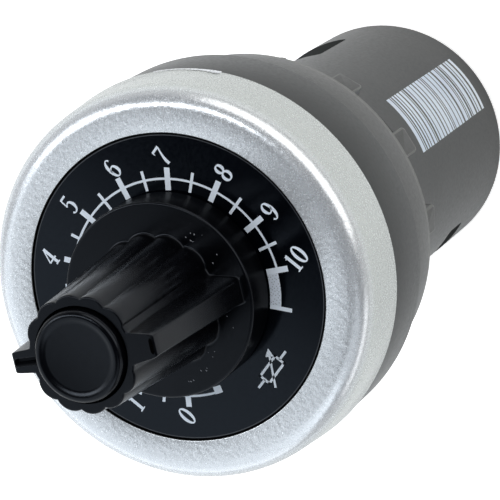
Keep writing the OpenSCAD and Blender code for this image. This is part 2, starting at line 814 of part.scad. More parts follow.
module clamp_plates() {
    rear_y = pocket_y + pocket_play;
    color([0.7, 0.71, 0.72]) for (i = [-1:1])
        difference() {
            translate([i * clamp_pitch - foot_w / 2, rear_y, clamp_z])
                cube([foot_w, block_front - foot_set_back - rear_y, clamp_t]);
            translate([i * clamp_pitch, 0, clamp_z - eps])
                cylinder(r = screw_d / 2 + push_clearance, h = clamp_t + 2 * eps, $fn = 32);
        }
}

module terminal_screws() {
    slot = 0.6;
    color([0.7, 0.71, 0.72]) for (i = [-1:1])
        translate([i * clamp_pitch, 0, 0]) difference() {
            union() {
                translate([0, 0, head_z]) cylinder(r = screw_head_d / 2, h = screw_head_h, $fn = 48);
                translate([0, 0, head_z]) cylinder(r = screw_d / 2, h = screw_top_z - head_z, $fn = 32);
            }
            rotate([0, 0, 25 * i]) translate([-screw_head_d / 2 - eps, -slot / 2, head_z - eps])
                cube([screw_head_d + 2 * eps, slot, screw_head_h * 0.5]);
        }
}

knob();
knob_cap();
collet();
collet_nut();
pot_shaft();
shaft_clip();
rotor();
wiper();
dial_plate();
bezel_ring();
front_body();
panel_gasket();
ring_nut();
rear_housing();
bushing();
bushing_nut();
lock_washer();
bushing_seal();
pot_case();
track_wafer();
resistive_track();
collector_ring();
terminal_start();
terminal_wiper();
terminal_end();
terminal_block();
clamp_plates();
terminal_screws();
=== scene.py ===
"""The look of a panel mounted rotary potentiometer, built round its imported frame.

Sizes are in millimetres until a mesh is made. Angles run clockwise from +Y, seen from the front.
"""

import json
import math
import random

import bpy
from mathutils import Matrix, Quaternion, Vector


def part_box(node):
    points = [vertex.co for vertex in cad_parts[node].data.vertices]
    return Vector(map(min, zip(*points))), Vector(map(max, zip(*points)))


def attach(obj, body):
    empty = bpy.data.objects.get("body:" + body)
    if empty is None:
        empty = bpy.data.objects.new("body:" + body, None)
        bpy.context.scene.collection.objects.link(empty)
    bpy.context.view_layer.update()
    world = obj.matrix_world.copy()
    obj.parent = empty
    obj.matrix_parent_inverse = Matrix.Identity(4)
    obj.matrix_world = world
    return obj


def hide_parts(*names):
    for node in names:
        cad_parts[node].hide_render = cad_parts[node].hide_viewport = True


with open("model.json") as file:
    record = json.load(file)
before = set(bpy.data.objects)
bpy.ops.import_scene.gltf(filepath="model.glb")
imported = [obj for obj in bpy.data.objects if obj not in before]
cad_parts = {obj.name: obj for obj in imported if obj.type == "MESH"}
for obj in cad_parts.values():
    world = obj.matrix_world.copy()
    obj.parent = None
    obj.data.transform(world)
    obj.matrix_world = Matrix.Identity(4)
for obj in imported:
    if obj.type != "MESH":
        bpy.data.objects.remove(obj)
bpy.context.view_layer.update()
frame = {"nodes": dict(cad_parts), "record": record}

MM = 0.001
TURN = 2 * math.pi
FIXED_BODY = "housing"
TURNING_BODY = "knob_assembly"
# Turn of the pointer at rest
KNOB_TURN = -48


def span(node):
    """Outer radius, lowest and highest height of a CAD node, in millimetres."""
    low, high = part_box(node)
    return max(high.x, high.y, -low.x, -low.y) / MM, low.z / MM, high.z / MM


DIAL_R, _, DIAL_Z = span("dial_plate")
BEZEL_R, COLLAR_TOP, BEZEL_Z = span("bezel_ring")
COLLAR_R, BARREL_REAR, HEAD_TOP = span("front_body")
NUT_R, LUG_REAR, PANEL_Z = span("ring_nut")
HOUSING_R = span("rear_housing")[0]
SKIRT_R, KNOB_BASE, KNOB_TOP = span("knob")
CAP_TOP = span("knob_cap")[2]
SKIRT_H = 2.9
SKIRT_TOP = KNOB_BASE + SKIRT_H


# Shader helpers


def new_material(name):
    """A new material with its node tree and its shader."""
    material = bpy.data.materials.new(name)
    material.use_nodes = True
    return material, material.node_tree, material.node_tree.nodes["Principled BSDF"]


def shader_node(tree, kind, **values):
    """A shader node whose sockets and settings are given by name."""
    made = tree.nodes.new(kind)
    for name, value in values.items():
        socket = name.replace("_", " ")
        if socket in made.inputs:
            made.inputs[socket].default_value = value
        else:
            setattr(made, name, value)
    return made


def maths(tree, operation, *values):
    """One operation on sockets and numbers."""
    made = shader_node(tree, "ShaderNodeMath", operation=operation)
    for socket, value in zip(made.inputs, values):
        if isinstance(value, (int, float)):
            socket.default_value = value
        else:
            tree.links.new(value, socket)
    return made.outputs[0]


def axial(tree, vector):
    """The part of a vector that runs along the shaft."""
    made = tree.nodes.new("ShaderNodeSeparateXYZ")
    tree.links.new(vector, made.inputs["Vector"])
    return made.outputs["Z"]


def noise(tree, coord, scale, detail):
    """Noise over the object's own coordinates; scale is in features per metre."""
    made = shader_node(tree, "ShaderNodeTexNoise", Scale=scale, Detail=detail, Roughness=0.5)
    tree.links.new(coord.outputs["Object"], made.inputs["Vector"])
    return made.outputs["Fac"]


def mapped(tree, value, low, high, from_low=0.0, from_high=1.0):
    """value moved from one range to another."""
    made = tree.nodes.new("ShaderNodeMapRange")
    made.inputs["From Min"].default_value = from_low
    made.inputs["From Max"].default_value = from_high
    made.inputs["To Min"].default_value = low
    made.inputs["To Max"].default_value = high
    tree.links.new(value, made.inputs["Value"])
    return made.outputs["Result"]


def mixed_colour(tree, factor, first, second):
    """A colour between two, by factor; each of the two is a colour or a socket."""
    made = shader_node(tree, "ShaderNodeMix", data_type="RGBA")
    tree.links.new(factor, made.inputs["Factor"])
    for name, colour in (("A", first), ("B", second)):
        if isinstance(colour, tuple):
            made.inputs[name].default_value = (*colour, 1)
        else:
            tree.links.new(colour, made.inputs[name])
    return made.outputs["Result"]


def bump(tree, height, distance):
    """A bump from a height; distance is in millimetres."""
    made = shader_node(tree, "ShaderNodeBump", Strength=1.0, Distance=distance * MM)
    tree.links.new(height, made.inputs["Height"])
    return made


def surface(name, dark, light, rough, metallic=0.0, specular=0.5, tint=(1, 1, 1),
        grain=600, grain_depth=0.0):
    """A surface that varies between two colours and two roughnesses, with a fine grain."""
    material, tree, shader = new_material(name)
    shader.inputs["Metallic"].default_value = metallic
    shader.inputs["Specular IOR Level"].default_value = specular
    shader.inputs["Specular Tint"].default_value = (*tint, 1)
    coord = tree.nodes.new("ShaderNodeTexCoord")
    patches = mapped(tree, noise(tree, coord, 160, 5), 0, 1, 0.3, 0.7)
    tree.links.new(mixed_colour(tree, patches, dark, light), shader.inputs["Base Color"])
    fine = noise(tree, coord, grain, 4)
    tree.links.new(mapped(tree, fine, *rough, 0.3, 0.7), shader.inputs["Roughness"])
    if grain_depth:
        tree.links.new(bump(tree, fine, grain_depth).outputs["Normal"], shader.inputs["Normal"])
    return material


def overlay(material, factor, colour):
    """Lays a colour over the base colour of a surface, by factor."""
    tree = material.node_tree
    base = tree.nodes["Principled BSDF"].inputs["Base Color"]
    tree.links.new(mixed_colour(tree, factor, base.links[0].from_socket, colour), base)


# Materials


def silver_paint():
    """Metallic paint with fine flakes, coarser on the front than on the side. Its colour by
    facing is painted light: lighter and bluer on the front, darker and greener on the side.
    """
    material, tree, shader = new_material("silver_paint")
    shader.inputs["Metallic"].default_value = 0.6
    shader.inputs["Coat Weight"].default_value = 0.25
    shader.inputs["Coat Roughness"].default_value = 0.22
    coord = tree.nodes.new("ShaderNodeTexCoord")
    frontal = axial(tree, coord.outputs["Normal"])
    flakes = shader_node(tree, "ShaderNodeTexVoronoi", Scale=10000.0)
    tree.links.new(coord.outputs["Object"], flakes.inputs["Vector"])
    flake = tree.nodes.new("ShaderNodeSeparateColor")
    tree.links.new(flakes.outputs["Color"], flake.inputs["Color"])
    # Painted light: the front gets a lighter, bluer colour as painted reflection, the side a
    # darker, greener one as painted shade and reflection.
    front = mixed_colour(tree, flake.outputs["Red"], (0.74, 0.77, 0.81), (0.84, 0.87, 0.91))
    side = mixed_colour(tree, flake.outputs["Red"], (0.60, 0.63, 0.61), (0.63, 0.66, 0.64))
    colour = mixed_colour(tree, mapped(tree, frontal, 0, 1, 0.2, 0.8), side, front)
    tree.links.new(colour, shader.inputs["Base Color"])
    roughness = mapped(tree, flake.outputs["Green"], 0.20, 0.29)
    tree.links.new(roughness, shader.inputs["Roughness"])
    coarse = bump(tree, noise(tree, coord, 2400, 2), 0.03)
    tree.links.new(mapped(tree, frontal, 0.04, 0.6, 0.3, 0.9), coarse.inputs["Strength"])
    sparkle = bump(tree, flake.outputs["Blue"], 0.0055)
    tree.links.new(mapped(tree, frontal, 0.0, 0.8, 0.5, 0.95), sparkle.inputs["Strength"])
    tree.links.new(coarse.outputs["Normal"], sparkle.inputs["Normal"])
    tree.links.new(sparkle.outputs["Normal"], shader.inputs["Normal"])
    return material


def housing_grey():
    """Grey moulding, nearly black on walls that don't face away from the axis, as painted shade
    inside the housing.
    """
    specular = 0.45
    material = surface("mid_grey", (0.029, 0.031, 0.030), (0.039, 0.041, 0.040), (0.28, 0.36),
        specular=specular, grain=3600, grain_depth=0.002)
    tree = material.node_tree
    shader = tree.nodes["Principled BSDF"]
    coord = tree.nodes.new("ShaderNodeTexCoord")
    flat = shader_node(tree, "ShaderNodeVectorMath", operation="MULTIPLY")
    flat.inputs[1].default_value = (1, 1, 0)
    tree.links.new(coord.outputs["Normal"], flat.inputs[0])
    outward = shader_node(tree, "ShaderNodeVectorMath", operation="DOT_PRODUCT")
    tree.links.new(coord.outputs["Object"], outward.inputs[0])
    tree.links.new(flat.outputs["Vector"], outward.inputs[1])
    # Painted shade: walls that face the axis, seen through the windows, are darkened to near
    # black and made to reflect little.
    shade_facing_in = mapped(tree, outward.outputs["Value"], 1, 0, 0.003, 0.005)
    endward = maths(tree, "ABSOLUTE", axial(tree, coord.outputs["Normal"]))
    inside = maths(tree, "MULTIPLY", shade_facing_in, mapped(tree, endward, 1, 0, 0.4, 0.8))
    overlay(material, inside, (0.002, 0.002, 0.002))
    tree.links.new(mapped(tree, inside, specular, 0.05), shader.inputs["Specular IOR Level"])
    return material


def smooth_black():
    """Black plastic of the knob: duller on the wall of the skirt than on the grip."""
    specular = 0.24
    material = surface("knob_black", (0.0008, 0.0009, 0.0014), (0.0014, 0.0016, 0.0024),
        (0.19, 0.25), specular=specular, tint=(0.78, 0.86, 1.0), grain=2500)
    tree = material.node_tree
    shader = tree.nodes["Principled BSDF"]
    coord = tree.nodes.new("ShaderNodeTexCoord")
    height = axial(tree, coord.outputs["Object"])
    wall_top = ((SKIRT_TOP - 0.3) * MM, (SKIRT_TOP - 0.1) * MM)
    shine = mapped(tree, height, 0.03, specular, *wall_top)
    tree.links.new(shine, shader.inputs["Specular IOR Level"])
    roughness = shader.inputs["Roughness"]
    duller = mapped(tree, height, 0.12, 0.0, *wall_top)
    total = maths(tree, "ADD", roughness.links[0].from_socket, duller)
    tree.links.new(total, roughness)
    return material


def dotted_print():
    """White print of the filled scale end, with rows of fine unprinted dots."""
    material = surface("dotted_print", (0.62, 0.68, 0.77), (0.72, 0.78, 0.88), (0.5, 0.65),
        grain=3000)
    tree = material.node_tree
    coord = tree.nodes.new("ShaderNodeTexCoord")
    dots = shader_node(tree, "ShaderNodeTexVoronoi", voronoi_dimensions="2D", Scale=4600.0,
        Randomness=0.6)
    tree.links.new(coord.outputs["Object"], dots.inputs["Vector"])
    inside = mapped(tree, dots.outputs["Distance"], 0.75, 0, 0.05, 0.24)
    overlay(material, inside, (0.03, 0.04, 0.06))
    return material


# Dark and light colour and range of roughness of each plain material
PLAIN = {
    "black_rubber": ((0.012, 0.012, 0.012), (0.02, 0.02, 0.02), (0.65, 0.8)),
    "wafer": ((0.22, 0.11, 0.045), (0.32, 0.17, 0.07), (0.5, 0.65)),
    "carbon": ((0.008, 0.008, 0.008), (0.015, 0.015, 0.015), (0.4, 0.6)),
    "rotor_plastic": ((0.58, 0.53, 0.43), (0.66, 0.61, 0.50), (0.45, 0.6)),
}
METALS = {
    "brass": ((0.70, 0.50, 0.20), (0.80, 0.60, 0.28), (0.22, 0.35)),
    "plated_brass": ((0.62, 0.60, 0.52), (0.72, 0.70, 0.62), (0.22, 0.35)),
    "contact_metal": ((0.70, 0.55, 0.30), (0.80, 0.66, 0.40), (0.28, 0.4)),
    "steel": ((0.52, 0.53, 0.54), (0.64, 0.65, 0.66), (0.25, 0.38)),
    "case_metal": ((0.58, 0.59, 0.60), (0.68, 0.69, 0.70), (0.3, 0.42)),
}


def make_materials():
    """One material for each of the record's slots."""
    made = {
        "knob_black": smooth_black(),
        "dial_print": surface("dial_black", (0.0006, 0.0009, 0.0018), (0.0012, 0.0017, 0.0030),
            (0.11, 0.17), specular=0.26, tint=(0.7, 0.82, 1.0), grain=4000),
        "silver_paint": silver_paint(),
        "dark_grey": surface("dark_grey", (0.0155, 0.0175, 0.0170), (0.0205, 0.0225, 0.0215),
            (0.28, 0.36), specular=0.4, grain=3600, grain_depth=0.002),
        "mid_grey": housing_grey(),
        "black_plastic": surface("black_plastic", (0.002, 0.002, 0.002), (0.004, 0.004, 0.004),
            (0.5, 0.6), specular=0.1, grain=1800, grain_depth=0.006),
    }
    for name, look in PLAIN.items():
        made[name] = surface(name, *look)
    for name, look in METALS.items():
        made[name] = surface(name, *look, metallic=1.0)
    return made


MATERIALS = make_materials()
PRINT = surface("print", (0.70, 0.77, 0.87), (0.80, 0.87, 0.96), (0.5, 0.65), grain=3000)
DOTTED = dotted_print()
LABEL = surface("label_print", (0.66, 0.74, 0.86), (0.84, 0.90, 0.98), (0.5, 0.65), grain=3000)
# A real flash of paint, its near-white colour partly a painted highlight
FLASH_AND_HIGHLIGHT = surface("paint_flash_and_highlight", (0.80, 0.83, 0.90), (0.95, 0.97, 1.0), (0.2, 0.4),
    metallic=0.2, grain=6000, grain_depth=0.02)
NUT = surface("nut_grey", (0.026, 0.027, 0.025), (0.035, 0.036, 0.033), (0.28, 0.36),
    specular=0.45, grain=3600, grain_depth=0.002)
# Painted highlight for the rounded rear edge of the nut's flange and the outer edges of its lugs
NUT_EDGE_HIGHLIGHT = surface("nut_edge_highlight", (0.085, 0.088, 0.080), (0.115, 0.118, 0.108), (0.3, 0.4),
    grain=3000)
DUST = surface("dust", (0.20, 0.21, 0.24), (0.42, 0.44, 0.48), (0.7, 0.8), grain=3000)
# Near black for painted shade: in the bezel's opening, in the gap round the dial, under the
# flash and in the knob's slot
GAP_SHADE = surface("gap", (0.001, 0.001, 0.001), (0.002, 0.002, 0.002), (0.6, 0.7), specular=0.0)
DIAL_EDGE = surface("dial_edge", (0.030, 0.034, 0.042), (0.045, 0.050, 0.060), (0.3, 0.4))


# Mesh helpers


def piece(name, corners, faces, body, slot, material=None, sharp=32, stands_for=()):
    """A mesh piece from corners in millimetres, riding on a CAD body."""
    mesh = bpy.data.meshes.new(name)
    mesh.from_pydata([Vector(c) * MM for c in corners], [], faces)
    mesh.validate()
    mesh.materials.append(material or MATERIALS[slot])
    mesh.shade_smooth()
    mesh.set_sharp_from_angle(angle=math.radians(sharp))
    made = bpy.data.objects.new(name, mesh)
    bpy.context.scene.collection.objects.link(made)
    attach(made, body)
    if stands_for:
        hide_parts(*stands_for)
    return made


def polar(radius, degrees, z):
    """A point by radius, angle and height."""
    a = math.radians(degrees)
    return (radius * math.sin(a), radius * math.cos(a), z)


def steps_between(start, end, steps):
    """Evenly spaced values from start to end, both included."""
    return [start + (end - start) * i / steps for i in range(steps + 1)]


def arc(cr, cz, r, from_deg, to_deg, steps):
    """Points (radius, height) on an arc of a section."""
    angles = [math.radians(a) for a in steps_between(from_deg, to_deg, steps)]
    return [(cr + r * math.cos(a), cz + r * math.sin(a)) for a in angles]


def revolve(section, steps):
    """Corners and faces of a closed section turned round the axis, facing outwards."""
    corners = [polar(r, 360 * i / steps, z) for i in range(steps) for r, z in section]
    n = len(section)
    faces = []
    for i in range(steps):
        a, b = i * n, (i + 1) % steps * n
        for j in range(n):
            k = (j + 1) % n
            faces.append((a + j, a + k, b + k, b + j))
    return corners, faces


def trim(made, material, chosen):
    """Gives another material to the faces that are chosen."""
    made.data.materials.append(material)
    for face in made.data.polygons:
        face.material_index = int(chosen(face))


class Sheets:
    """Flat or curved strips gathered into one mesh."""

    def __init__(self):
        self.corners = []
        self.faces = []

    def grid(self, rows):
        """Adds rows of points, each row as long as the next, joined by faces."""
        first = len(self.corners)
        width = len(rows[0])
        for row in rows:
            self.corners.extend(row)
        for i in range(len(rows) - 1):
            for j in range(width - 1):
                a = first + i * width + j
                self.faces.append((a, a + 1, a + width + 1, a + width))

    def piece(self, name, body, slot, material=None):
        """Makes the piece."""
        return piece(name, self.corners, self.faces, body, slot, material)


# Bezel


def bezel():
    """Silver ring: flat face, round shoulder and slightly flared side."""
    opening = DIAL_R + 0.05
    shoulder, flare = 1.65, 0.28
    shoulder_r = BEZEL_R - flare - shoulder
    seat = COLLAR_R - 1.9
    lip_round, rear_round = 0.07, 0.1
    section = (
        [(seat, HEAD_TOP), (opening, HEAD_TOP)]
        + arc(opening + lip_round, BEZEL_Z - lip_round, lip_round, 180, 90, 4)
        + [(shoulder_r - 0.1, BEZEL_Z)]
        + arc(shoulder_r, BEZEL_Z - shoulder, shoulder, 90, 5, 28)
        + arc(BEZEL_R - rear_round, COLLAR_TOP + rear_round, rear_round, 0, -90, 4)
        + [(seat, COLLAR_TOP)]
    )
    made = piece("bezel_ring_visual", *revolve(section, 540), FIXED_BODY, "silver_paint",
        sharp=40, stands_for=["bezel_ring"])

    def in_opening(face):
        corners = (made.data.vertices[i].co / MM for i in face.vertices)
        return all(math.hypot(c.x, c.y) < opening + 0.01 for c in corners)

    # Painted shade: the inner wall of the bezel's opening is made near black
    trim(made, GAP_SHADE, in_opening)


# Outer radius and width of the lines round the dial
DIAL_LINES = {"dial_edge": (11.44, 0.07, DIAL_EDGE), "dial_gap": (11.59, 0.13, GAP_SHADE)}


def dial_lines():
    """Light edge of the dial plate, and a black ring of painted shade where the gap between it
    and the bezel is.
    """
    z = DIAL_Z + 0.006
    for name, (outer, width, material) in DIAL_LINES.items():
        ring = Sheets()
        ring.grid([[polar(outer, a, z), polar(outer - width, a, z)] for a in range(0, 361, 2)])
        ring.piece(name, FIXED_BODY, "dial_print", material)


FLASH_DEG = (41, 61.6)
FLASH_W = 0.14


def bezel_flash():
    """Thin uneven flash of paint over the rear edge of the bezel, on part of its round; its
    near-white colour is partly a painted highlight, and a dark strip on the collar under it is
    painted shade.
    """
    steps = 140
    rng = random.Random(5)
    rows, dark_rows = [], []
    wave = 0.0
    for i, deg in enumerate(steps_between(*FLASH_DEG, steps)):
        t = i / steps
        wave = 0.7 * wave + 0.3 * rng.uniform(-1, 1)
        fade = min(1, t * 14, (1 - t) * 40)
        reach = FLASH_W * (0.25 + 0.75 * t * t) * fade * (1 + 0.5 * wave)
        foot = COLLAR_TOP - reach
        rows.append([
            polar(BEZEL_R - 0.005, deg, COLLAR_TOP + 0.1 + 0.4 * reach / FLASH_W),
            polar(BEZEL_R + 0.03, deg, COLLAR_TOP + 0.05),
            polar(BEZEL_R + 0.01, deg, foot),
            polar(COLLAR_R + 0.005, deg, foot - 0.03),
        ])
        # Painted shade: a dark strip on the collar just under the flash
        dark_rows.append([polar(COLLAR_R + 0.01, deg, foot - drop) for drop in (0.02, 0.09)])
    for name, strip, material in (
            ("bezel_flash_shade", dark_rows, GAP_SHADE), ("bezel_flash", rows, FLASH_AND_HIGHLIGHT)):
        sheets = Sheets()
        sheets.grid(strip)
        sheets.piece(name, FIXED_BODY, "silver_paint", material)


# Collar, barrel and ring nut

THREAD_ROOT, THREAD_CREST, THREAD_PITCH = 10.5, 11.0, 0.7
THREAD_LOW, THREAD_HIGH = BARREL_REAR + 0.02, LUG_REAR - 0.1


def collar_and_barrel():
    """Grey collar with the smooth core of the barrel behind it."""
    engaged_r = 10.7
    bore, spigot_bore, spigot_z = 8.6, 9.65, BARREL_REAR + 3.05
    gasket_in, gasket_out, gasket_z = 11.9, 14.1, PANEL_Z + 1.2
    bulkhead_z, cavity_z = PANEL_Z + 1.5, PANEL_Z + 3.5
    hole_r, cavity_r = 3.55, 6.6
    head_r = COLLAR_R - 1.95
    edge = 0.1
    section = (
        [(spigot_bore, BARREL_REAR), (THREAD_ROOT - edge, BARREL_REAR)]
        + [(THREAD_ROOT, BARREL_REAR + edge), (THREAD_ROOT, THREAD_HIGH)]
        + [(engaged_r, THREAD_HIGH), (engaged_r, PANEL_Z)]
        + [(gasket_in, PANEL_Z), (gasket_in, gasket_z)]
        + [(gasket_out, gasket_z), (gasket_out, PANEL_Z)]
        + arc(COLLAR_R - edge, PANEL_Z + edge, edge, -90, 0, 4)
        + arc(COLLAR_R - edge, COLLAR_TOP - edge, edge, 0, 90, 4)
        + [(head_r, COLLAR_TOP), (head_r, HEAD_TOP)]
        + [(cavity_r, HEAD_TOP), (cavity_r, cavity_z)]
        + [(hole_r, cavity_z), (hole_r, bulkhead_z)]
        + [(bore, bulkhead_z), (bore, spigot_z), (spigot_bore, spigot_z)]
    )
    piece("front_body_visual", *revolve(section, 300), FIXED_BODY, "dark_grey",
        stands_for=["front_body"])


def barrel_thread():
    """Thread on the free end of the barrel, running out at both ends."""
    steps_a_turn = 96
    turns = (THREAD_HIGH - THREAD_LOW) / THREAD_PITCH
    sunk = THREAD_ROOT - 0.02
    rows = []
    for i in range(int(turns * steps_a_turn) + 1):
        t = i / steps_a_turn
        z = THREAD_LOW + t * THREAD_PITCH
        fade = max(0.05, min(1, t * 5, (turns - t) * 5))
        top = THREAD_ROOT + (THREAD_CREST - THREAD_ROOT) * fade
        row = []
        for r, share in ((sunk, -0.45), (top, -0.08), (top, 0.08), (sunk, 0.45)):
            height = z + share * THREAD_PITCH * fade
            row.append(polar(r, 360 * t, min(max(height, THREAD_LOW), THREAD_HIGH)))
        rows.append(row)
    winding = Sheets()
    winding.grid(rows)
    winding.piece("barrel_thread", FIXED_BODY, "dark_grey")


def rounded_lug(w, h, depth, r):
    """Corners and faces of a lug on the nut's hub, and the range of its outer edge's faces."""
    across = [(-w / 2, 0.05)]
    for side, start in ((-1, 180), (1, 270)):
        for deg in steps_between(start, start + 90, 5):
            a = math.radians(deg)
            across.append((side * (w / 2 - r) + r * math.cos(a), -(h - r) + r * math.sin(a)))
    across.append((w / 2, 0.05))
    soft = 0.18
    part = 0.3 * soft
    corners, rows = [], []
    for inset, y in ((soft, 0), (part, part), (0, soft),
            (0, depth - soft), (part, depth - part), (soft, depth)):
        narrowed = 1 - inset / (w / 2)
        row = [(x * narrowed, y, z + (inset if z < 0 else 0)) for x, z in across]
        rows.append([len(corners) + i for i in range(len(row))])
        corners += row
    faces = []
    for a, b in zip(rows, rows[1:]):
        faces += [(a[i], a[i + 1], b[i + 1], b[i]) for i in range(len(a) - 1)]
    outer_edge = range(len(faces) - 2 * (len(across) - 1), len(faces))
    faces += [tuple(reversed(rows[0])), tuple(rows[-1])]
    return corners, faces, outer_edge


LUGS, FIRST_LUG = 12, 21.6
LUG_W, LUG_H, LUG_ROUND = 2.2, 2.85, 0.4
HUB_H, HUB_STEP = 2.85, 1.4
NUT_TAPER, NUT_CROWN, FLANGE_H = 0.65, 0.32, 5.2


def ring_nut():
    """Grey nut: crowned flange, hub and lugs, with its rear edges made lighter as a painted
    highlight.
    """
    hub_z = LUG_REAR + LUG_H
    rear_z = hub_z + HUB_H
    rear_r = NUT_R - 0.75
    hub_r = rear_r - HUB_STEP
    bore, edge, front_edge = 10.8, 0.14, 0.12
    bore_and_hub = (
        [(bore, PANEL_Z), (bore, hub_z)]
        + arc(hub_r - edge, hub_z + edge, edge, -90, 0, 4)
        + [(hub_r, rear_z)]
    )
    rear_edge = arc(rear_r - edge, rear_z + edge, edge, -90, 5, 6)
    crown = []
    for t in steps_between(0, 1, 10)[1:-1]:
        drop = NUT_TAPER * t - NUT_CROWN * t * (1 - t)
        crown.append((NUT_R - 0.1 - drop, PANEL_Z - 0.1 - FLANGE_H * t))
    front = arc(NUT_R - front_edge, PANEL_Z - front_edge, front_edge, 0, 90, 4)
    section = bore_and_hub + rear_edge + crown[::-1] + front
    corners, faces = revolve(section, 300)
    turned = len(faces)
    inner, outer = bore + 0.1, hub_r - 0.05
    shape, shape_faces, outer_edge = rounded_lug(LUG_W, LUG_H, outer - inner, LUG_ROUND)
    for i in range(LUGS):
        turn = Matrix.Rotation(-math.radians(FIRST_LUG + 360 * i / LUGS), 4, "Z")
        first = len(corners)
        corners += [tuple(turn @ Vector((x, inner + y, hub_z + z))) for x, y, z in shape]
        faces += [tuple(first + k for k in f) for f in shape_faces]
    made = piece("ring_nut_visual", corners, faces, FIXED_BODY, "mid_grey", NUT,
        stands_for=["ring_nut"])
    flange_edge = range(len(bore_and_hub), len(bore_and_hub + rear_edge))

    def on_edge(face):
        if face.index < turned:
            return face.index % len(section) in flange_edge
        return (face.index - turned) % len(shape_faces) in outer_edge

    # Painted highlight: the rounded edges get the lighter material
    trim(made, NUT_EDGE_HIGHLIGHT, on_edge)


# Print on the dial

PRINT_Z = DIAL_Z + 0.015
# Height of what is printed over the scale line
OVER_Z = PRINT_Z + 0.001
SCALE_R, SCALE_W = 8.19, 0.17
SCALE_TURN = -0.4
MIDDLE_VALUE, LAST_VALUE = 5, 10
DEG_A_VALUE = 26
# How far the line runs on past zero, and from where to where its thick end goes
LINE_PAST, HOOK_PAST = 17, (20, 15.5)
HOOK_R = (SCALE_R - 0.45, SCALE_R + 0.12)
# Filled band past the last value, and the width of the mark that ends it
BAND_DEG, BAND_R, BAND_END_W = 20, (7.33, 8.18), 0.3
MAJOR_R, MAJOR_W = (7.34, 9.02), 0.43
MINOR_R, MINOR_W = (7.40, 8.91), 0.23


def value_deg(value):
    """Angle of a value on the dial."""
    return (value - MIDDLE_VALUE) * DEG_A_VALUE + SCALE_TURN


def ring_strip(sheets, inner, outer, from_deg, to_deg, z=PRINT_Z):
    """A flat ring sector."""
    steps = max(2, int(abs(to_deg - from_deg) / 1.5))
    angles = steps_between(from_deg, to_deg, steps)
    sheets.grid([[polar(outer, a, z), polar(inner, a, z)] for a in angles])


def tick(sheets, radii, width, deg):
    """A straight mark across the scale line."""
    a = math.radians(deg)
    out = Vector((math.sin(a), math.cos(a), 0))
    side = Vector((math.cos(a), -math.sin(a), 0)) * width / 2
    lift = Vector((0, 0, PRINT_Z + 0.002))
    sheets.grid([[tuple(out * r + side * s + lift) for s in (-1, 1)] for r in radii[::-1]])


def smooth_path(points, steps=7):
    """Catmull-Rom points through (x, y, width) points."""
    made = []
    last = len(points) - 1
    for i in range(last):
        a, b, c, d = [Vector(points[max(0, min(last, i + k))]) for k in (-1, 0, 1, 2)]
        for s in range(steps):
            t = s / steps
            curve = (2 * a - 5 * b + 4 * c - d) * t * t + (3 * b - a - 3 * c + d) * t ** 3
            made.append(0.5 * (2 * b + (c - a) * t + curve))
    made.append(Vector(points[-1]))
    return made


def stroke(points, place, sheets, curved=False):
    """A pen stroke of changing width through (x, y, width) points, set down by place."""
    path = smooth_path(points) if curved else [Vector(p) for p in points]
    rows = []
    for i, p in enumerate(path):
        ahead = path[min(i + 1, len(path) - 1)]
        behind = path[max(i - 1, 0)]
        run = Vector((ahead.x - behind.x, ahead.y - behind.y)).normalized()
        side = Vector((-run.y, run.x)) * max(p.z, 0.01) / 2
        rows.append([place(p.x + side.x, p.y + side.y), place(p.x - side.x, p.y - side.y)])
    sheets.grid(rows)


# Height of a digit, its width as a share of the height, and the widths of the pen
DIGIT_R, DIGIT_H, GLYPH_W = 9.82, 1.52, 0.54
THIN, THICK, SERIF = 0.07, 0.16, 0.065


def oval(cx, cy, rx, ry):
    """Closed pen oval, thick at the sides and thin at top and bottom."""
    points = []
    for a in steps_between(0, TURN, 24):
        width = THIN + (THICK - THIN) * abs(math.cos(a)) ** 1.5
        points.append((cx + rx * math.cos(a), cy + ry * math.sin(a), width))
    return points


